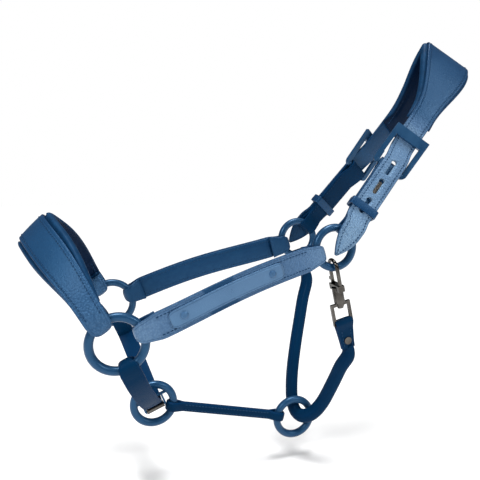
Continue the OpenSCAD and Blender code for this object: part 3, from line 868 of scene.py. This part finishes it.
def cheek(side, name):
    place = along(LOWER, CHEEK_ANGLE, side)
    body = name + "_cheek"
    rows = cheek_rows()
    points, across, widths = line_frames(rows)
    sweep(body + "_leather", place, points, across, widths,
          strap_section(-LAYER / 2, LAYER / 2, crease=2.3, dome=0.25),
          look(GRAINED, body, "leather", [body]), plain=[cheek_plain(r[0], r[1]) for r in rows])
    lined = np.linspace(SIDE_R + 13, CHEEK_LEN - RING_R - 13, 60)
    rows = [[s, cheek_y(s), cheek_q(s), 0, cheek_width(s) - 0.2] for s in lined]
    points, across, widths = line_frames(rows)
    sweep(body + "_lining_leather", place, points, across, widths,
          strap_section(-LAYER - FOLD, -LAYER - 0.05, crease=2, dome=0, depth=0),
          look(LINING, body, "lining", [body + "_lining"]))
    sewn = widths / 2 - 3.4
    stitches(body + "_stitching", place, points, across, sewn, 0.28, look(THREAD, body, "leather"))
    stitches(body + "_inner_stitching", place, points, across, sewn, -LAYER - FOLD,
             look(THREAD, body, "lining"))


def name_plate():
    """A blank strip along the near cheek, with its ends cut round."""
    place = along(LOWER, CHEEK_ANGLE, -1)
    steps = 40
    rows = []
    for i in range(steps + 1):
        s = PLATE_S + PLATE_L * (i / steps - 0.5)
        end = min(1.0, min(i, steps - i) / 2.5)
        w = (CHEEK_MID - PLATE_MARGIN) * (0.72 + 0.28 * math.sqrt(1 - (1 - end) ** 2))
        rows.append([s, cheek_y(s), cheek_q(s), 0, w])
    points, across, widths = line_frames(rows)
    sweep("name_plate_leather", place, points, across, widths,
          strap_section(0.25, PLATE_T, crease=1.7, dome=0.2, depth=0.35, round_r=0.6),
          look(PLATE, "near_cheek", "leather", ["name_plate"]))


# ---------- noseband ----------

def nose_part(s):
    return min(1.0, max(0.0, (s - NOSE_BEND) / (NOSE_TOP - NOSE_BEND)))


def nose_y(s):
    top = NOSE_HALF + LOOP_R - LOOP_SET
    return top * (1 - nose_part(s) ** NOSE_POWER) ** (1 / NOSE_POWER)


def nose_q(s):
    return -NOSE_BOW * sind(180 * min(1.0, max(0.0, (s - SIDE_R) / (NOSE_TOP - SIDE_R))))


def nose_rows(first, wide, widen_to):
    """Rows from the noseband's far end up to its top, leaving out those before first."""
    steps = 56
    rows = []
    for i in range(first, steps + 1):
        s = NOSE_BEND + (NOSE_TOP - NOSE_BEND) * sind(90 * i / steps)
        w = mix(NOSE_END_W, wide, smooth((s - NOSE_BEND) / (widen_to - NOSE_BEND)))
        rows.append([s, nose_y(s), nose_q(s), NOSE_YAW * smooth(nose_part(s)), w])
    return rows


def nose_strap():
    place = along(LOWER, NOSE_ANGLE)
    end = [[x, y, nose_q(x), 0, end_width(NOSE_END_W, fold_reach(x, SIDE_R, NOSE_SAG))]
           for x, y in folded_end(SIDE_R, NOSE_HALF, NOSE_SAG, SIDE_R + 12)]
    lead_x = SIDE_R + 4
    end += [[lead_x, NOSE_HALF + LOOP_R - LAYER / 2 - LOOP_SET, nose_q(lead_x), 0, NOSE_END_W]]
    arch = softened(over(nose_rows(0, NOSE_W, widen_to=NOSE_TOP - 20)), NOSE_EASE)
    points, across, widths = line_frames(arch)
    middle = points - unit(np.cross(across, tangents(points))) * LAYER / 2
    parts = [line_frames(end), (middle, across, widths), line_frames(mirrored(end))]
    all_points, all_across, all_widths = [np.concatenate(column) for column in zip(*parts)]
    # The ends near the rings take the lighter grained tone, which is painted sheen as well as grain.
    sweep("nose_strap_leather", place, all_points, all_across, all_widths,
          strap_section(-LAYER / 2, LAYER / 2, crease=2.6, dome=0.5, depth=0.35),
          look(SATIN, "noseband", "leather", ["nose_strap"]),
          plain=[0.15 + 0.85 * smooth((x - SIDE_R) / 60) for x in all_points[:, 0]])
    stitches("nose_strap_stitching", place, points, across, widths / 2 - 4.0, 0.42,
             look(THREAD, "noseband", "leather"))


def nose_padding():
    place = along(LOWER, NOSE_ANGLE)
    rows = softened(over(nose_rows(4, NOSE_PAD_W, widen_to=NOSE_TOP - 18)), NOSE_EASE)
    points, across, widths = line_frames(rows)
    points = points - unit(np.cross(across, tangents(points))) * (LAYER + 0.1)
    pad = sweep("nose_padding", place, points, across, widths,
                pad_section(pad_depth(0.4, 0.08), lip=1.1, seam_at=4.5),
                look(SHADED_PADDING, "noseband", "lining", ["nose_pad"]))
    stitches("nose_padding_stitching", place, points, across, widths / 2 - 4.2, -PAD_T * 0.86,
             look(THREAD, "noseband", "lining"), pitch=4.2, length=3.0)


# ---------- chin, jaw and throat ----------

def chin_arch():
    """The strap's outer line under the chin, on a rounded superellipse between its two ends."""
    first = SIDE_R + 10
    rows = []
    for a in np.linspace(90, -90, 61):
        c = abs(cosd(a)) ** (2 / CHIN_POWER)
        q = abs(sind(a)) ** (2 / CHIN_POWER)
        rows.append([first + (CHIN_TOP - first) * c, NOSE_HALF * math.copysign(q, a)])
    rows = np.array(rows)
    t = tangents(rows)
    return rows + np.stack([-t[:, 1], t[:, 0]], 1) * CHIN_T / 2


def chin_strap():
    place = along(LOWER, CHIN_ANGLE)
    end = folded_end(SIDE_R, NOSE_HALF, CHIN_SAG, SIDE_R + 16)
    end += [[SIDE_R + 3, NOSE_HALF + LOOP_R - LAYER / 2 - 0.4], [SIDE_R + 7, NOSE_HALF + 3.2]]
    path = end + chin_arch().tolist() + [[x, -y] for x, y in reversed(end)]
    rows = [[x, y, 0, 0, end_width(CHIN_W, fold_reach(x, SIDE_R, CHIN_SAG))] for x, y in path]
    points, across, widths = line_frames(rows)
    sweep("chin_strap_leather", place, points, across, widths,
          strap_section(-LAYER / 2, LAYER / 2, crease=2.2, dome=0.4),
          look(SHADED_LEATHER, "chin_strap", "leather", ["chin_strap"]))


def flat_stitches(name, ends, place, centre_y, xs, off, lift, body):
    """Sewn rows on both faces of two layers that lie flat about centre_y, one face per name end."""
    n = len(xs)
    for side, end in ((-1, ends[0]), (1, ends[1])):
        points = np.stack([xs, np.full(n, centre_y + side * FOLD), np.zeros(n)], 1)
        stitches(name + end, place, points, np.tile([0, 0, 1.0], (n, 1)), off, lift * side,
                 look(THREAD, body, "leather"))


def jaw_strap():
    """One closed loop of strap round both rings, sewn together between them."""
    gap = THROAT - CHIN
    length = math.hypot(gap[0], gap[2])
    place = along(CHIN, math.degrees(math.atan2(gap[2], gap[0])))
    rc = LOOP_R - FOLD / 2
    turns = 17
    one = [[RING_R - 0.5 + rc * cosd(q), rc * sind(q)] for q in np.linspace(70, 290, turns)]
    one += [[RING_R + 6.5, -3.2], [RING_R + 11, -FOLD / 2]]
    one += [[x, -FOLD / 2] for x in np.arange(RING_R + 18, length / 2, 7)]
    path = one + [[length - x, y] for x, y in reversed(one)]
    path += [[x, -y] for x, y in reversed(path[turns:-turns])]
    points = np.array([[x, y, 0] for x, y in path])
    sweep("jaw_strap_leather", place, points, np.tile([0, 0, -1.0], (len(points), 1)),
          np.full(len(points), JAW_W),
          strap_section(-FOLD / 2, FOLD / 2, crease=2.0, dome=0.35, depth=0.2, round_r=1.1),
          look(SHADED_LEATHER, "jaw_strap", "leather", ["jaw_strap"]), closed=True)
    flat_stitches("jaw_strap_stitching_", ("near", "far"), place, 0,
                  np.linspace(RING_R + 12, length - RING_R - 12, 40), off=2.6, lift=0.3, body="jaw_strap")


def curve(p, n):
    """Catmull-Rom points through a route."""
    rows = []
    for i in range(len(p) - 1):
        a, b, c, d = p[max(i - 1, 0)], p[i], p[i + 1], p[min(i + 2, len(p) - 1)]
        for k in range(n):
            t = k / n
            rows.append(0.5 * (2 * b + (c - a) * t + (2 * a - 5 * b + 4 * c - d) * t * t
                               + (3 * b - 3 * c + d - a) * t ** 3))
    return np.array(rows + [p[-1]])


def snap_frame():
    """The snap's own frame, and the point of the upper ring that it hangs from."""
    top = [UPPER[0] + RING_R * cosd(SNAP_AT), -CROWN_HALF, UPPER[2] + RING_R * sind(SNAP_AT)]
    place = along(top, SNAP_ANGLE)
    return turned(place, [0, -CROWN_HALF, 0], SNAP_LEAN), np.array(top)


def throat_route():
    """The strap's path from the ring's loop, down through the throat ring and up to the snap's."""
    u = np.array([UPPER[0], 0, UPPER[2]])
    loop_dir = np.array([cosd(LOOP_ANGLE), 0, sind(LOOP_ANGLE)])
    loop_end = u + [0, CROWN_HALF, 0] + (RING_R + LOOP_L) * loop_dir
    flat = cosd(SNAP_LEAN)
    snap_dir = np.array([cosd(SNAP_ANGLE) * flat, sind(SNAP_LEAN), sind(SNAP_ANGLE) * flat])
    snap_end = snap_frame()[1] + (EYE_S + FOLD_L) * snap_dir
    route = [[7, 42, -70], [0.5, 37, -95], [-7.5, 30, -124], [-14.5, 22.5, -153], [-18.2, 15.5, -174],
             [-19.5, 8.5, -188], [-17.5, 0, -196], [-11, -9, -195], [-3, -14, -188.5], [5, -18, -176],
             [10, -23.5, -160], [14.5, -29.5, -143], [17.5, -35.5, -128]]
    route = [loop_end - 2 * loop_dir, loop_end + 12 * loop_dir] + [u + r for r in route]
    return route + [snap_end + 9 * snap_dir, snap_end - 2 * snap_dir]


def throat_section(width, t):
    """Rolled leather with a sewn seam inside, which flattens towards the strap's two ends."""
    flat = 1 - smooth(min(t, 1 - t) / 0.05)
    half = mix(width, THROAT_END_W, flat) / 2
    rows = []
    for a in range(0, 360, 15):
        seam = 0.7 * math.exp(-((a - 270) / 9) ** 2)
        thick = mix(THROAT_T, 2 * FOLD, flat) / 2 - seam
        rows.append([half * cosd(a), thick * sind(a), 0.8 if seam > 0.3 else 0.1])
    return np.array(rows)


def throat_strap():
    points = softened(curve(throat_route(), 10), THROAT_EASE, 2.0)
    wide = unit(np.cross(tangents(points), [0.8, 0.5, -0.2]))
    sweep("throat_strap_leather", lambda p: p, points, wide, np.full(len(points), THROAT_W),
          throat_section, look(SHADED_LEATHER, "throat_strap", "leather", ["throat_strap"]))


def flat_loop(node_name, place, rc, length, width, centre_y, sag):
    """A strap end folded round a bar at the frame's origin, both layers stitched beyond it."""
    arc = [[-sag + rc * cosd(q), rc * sind(q)] for q in np.linspace(75, 285, 17)]
    low = [[rc * 0.9, -rc * 0.72], [rc * 1.9, -FOLD / 2 - 0.25], [rc * 2.4, -FOLD / 2]]
    low += [[x, -FOLD / 2] for x in np.linspace(rc * 3, length - 0.2, 6)]
    path = [[x, -y] for x, y in reversed(low)] + arc + low
    points = np.array([[x, y + centre_y, 0] for x, y in path])
    widths = [width * (1 + 0.3 * (1 - smooth(x / length))) for x in points[:, 0]]
    name = node_name + "_leather"
    sweep(name, place, points, np.tile([0, 0, -1.0], (len(points), 1)), widths,
          strap_section(-FOLD / 2, FOLD / 2, crease=2.0, dome=0.15, depth=0.25),
          look(SHADED_LEATHER, "throat_strap", "leather", [node_name]))
    flat_stitches(name + "_stitching_", ("in", "out"), place, centre_y,
                  np.linspace(rc * 2.3, length - 2.5, 20), off=width / 2 - 2.6, lift=0.2,
                  body="throat_strap")


def throat_loops():
    place = turned(along(UPPER, LOOP_ANGLE), [RING_R, 0, 0], 0)
    flat_loop("throat_ring_loop", place, LOOP_R - FOLD / 2, LOOP_L, LOOP_W, CROWN_HALF, sag=0.4)
    place = turned(snap_frame()[0], [EYE_S, 0, 0], 0)
    flat_loop("throat_snap_loop", place, EYE_R + 0.4 + FOLD / 2, FOLD_L, FOLD_W, 0, sag=0)


# ---------- the whole halter ----------

def paint(names, material):
    """Gives CAD nodes that stay as they are their material."""
    for name in names:
        for s in frame["nodes"][name].material_slots:
            s.material = material


crown_strap()
crown_padding()
for side, name in ((-1, "near"), (1, "far")):
    chape(side, name)
    keeper(side, name)
    cheek(side, name)
name_plate()
nose_strap()
nose_padding()
chin_strap()
jaw_strap()
throat_strap()
throat_loops()
for side in ("near", "far"):
    paint([side + "_upper_ring", side + "_lower_ring", side + "_buckle_frame"], COATED)
    paint([side + "_hook_stud"], STEEL)
paint(["chin_ring", "throat_ring"], COATED)
paint(["plate_rivets"], HIGHLIGHTED_RIVET)
paint(["chin_roller", "throat_rivet", "snap_eye", "snap_hook", "snap_gate", "snap_gate_pin"], STEEL)


# ---------- floor, light and camera ----------

def floor():
    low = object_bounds()[0][2]
    bpy.ops.mesh.primitive_plane_add(size=14, location=(-0.2, 0.5, low - FLOOR_GAP))
    plane = bpy.context.object
    plane.name = "floor"
    m, tree, shader, where = new_material("floor")
    speck = node(tree, "ShaderNodeTexNoise", Scale=3.0, Detail=2.0)
    tree.links.new(where, speck.inputs["Vector"])
    stops = [(0.3, (0.96, 0.96, 0.96)), (0.7, (0.98, 0.98, 0.98))]
    tree.links.new(colour_ramp(tree, speck.outputs["Fac"], stops), shader.inputs["Base Color"])
    dial(shader, Roughness=0.9, Specular_IOR_Level=0.1)
    plane.data.materials.append(m)
    plane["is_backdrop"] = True


def area(name, spot, size, power):
    """A soft disk light at spot, aimed at the middle of the halter."""
    data = bpy.data.lights.new(name, "AREA")
    data.shape = "DISK"
    data.size = size
    data.energy = power
    obj = bpy.data.objects.new(name, data)
    obj.location = spot
    obj.rotation_euler = (Vector(MIDDLE) - Vector(spot)).to_track_quat("-Z", "Y").to_euler()
    bpy.context.scene.collection.objects.link(obj)


def sun(name, elevation, azimuth, spread, strength):
    """A broad soft light from one side; azimuth 0 shines along +Y, as the camera roughly looks."""
    data = bpy.data.lights.new(name, "SUN")
    data.angle = math.radians(spread)
    data.energy = strength
    obj = bpy.data.objects.new(name, data)
    back = Vector((sind(azimuth) * cosd(elevation), -cosd(azimuth) * cosd(elevation), sind(elevation)))
    obj.rotation_euler = back.to_track_quat("Z", "Y").to_euler()
    bpy.context.scene.collection.objects.link(obj)


def world():
    """A dim even light all round, seen by the camera as plain white."""
    studio = bpy.data.worlds.new("studio")
    bpy.context.scene.world = studio
    studio.use_nodes = True
    tree = studio.node_tree
    lit = tree.nodes["Background"]
    seen = tree.nodes.new("ShaderNodeBackground")
    for background, strength in ((lit, 0.17), (seen, 1.0)):
        dial(background, Color=(1, 1, 1, 1), Strength=strength)
    ray = tree.nodes.new("ShaderNodeLightPath")
    blend = tree.nodes.new("ShaderNodeMixShader")
    tree.links.new(ray.outputs["Is Camera Ray"], blend.inputs[0])
    tree.links.new(lit.outputs[0], blend.inputs[1])
    tree.links.new(seen.outputs[0], blend.inputs[2])
    tree.links.new(blend.outputs[0], tree.nodes["World Output"].inputs["Surface"])


def lights():
    sun("overhead softbox", elevation=86, azimuth=20, spread=22, strength=3.0)
    area("crown side light", (0.6, -1.0, 0.6), size=0.5, power=7)
    area("nose side light", (-1.2, -0.7, 0.5), size=0.4, power=8)


def camera():
    """Looks as the photograph does, from the near side and a little in front."""
    data = bpy.data.cameras.new("camera")
    data.lens = 35.25
    data.sensor_width = 36
    data.clip_start = 0.01
    obj = bpy.data.objects.new("camera", data)
    right = Vector((0.95665, -0.29125, 0.0))
    down = Vector((-0.03264, -0.10720, -0.99370))
    forward = Vector((0.28942, 0.95062, -0.11206))
    turn = Matrix((right, -down, -forward)).transposed()
    obj.matrix_world = Matrix.Translation(CAMERA_AT) @ turn.to_4x4()
    bpy.context.scene.collection.objects.link(obj)
    bpy.context.scene.camera = obj


floor()
lights()
world()
camera()
bpy.context.scene.view_settings.view_transform = "Standard"


def plain(box):
    """A box's two corners as plain lists of numbers."""
    return [[float(v) for v in corner] for corner in box]
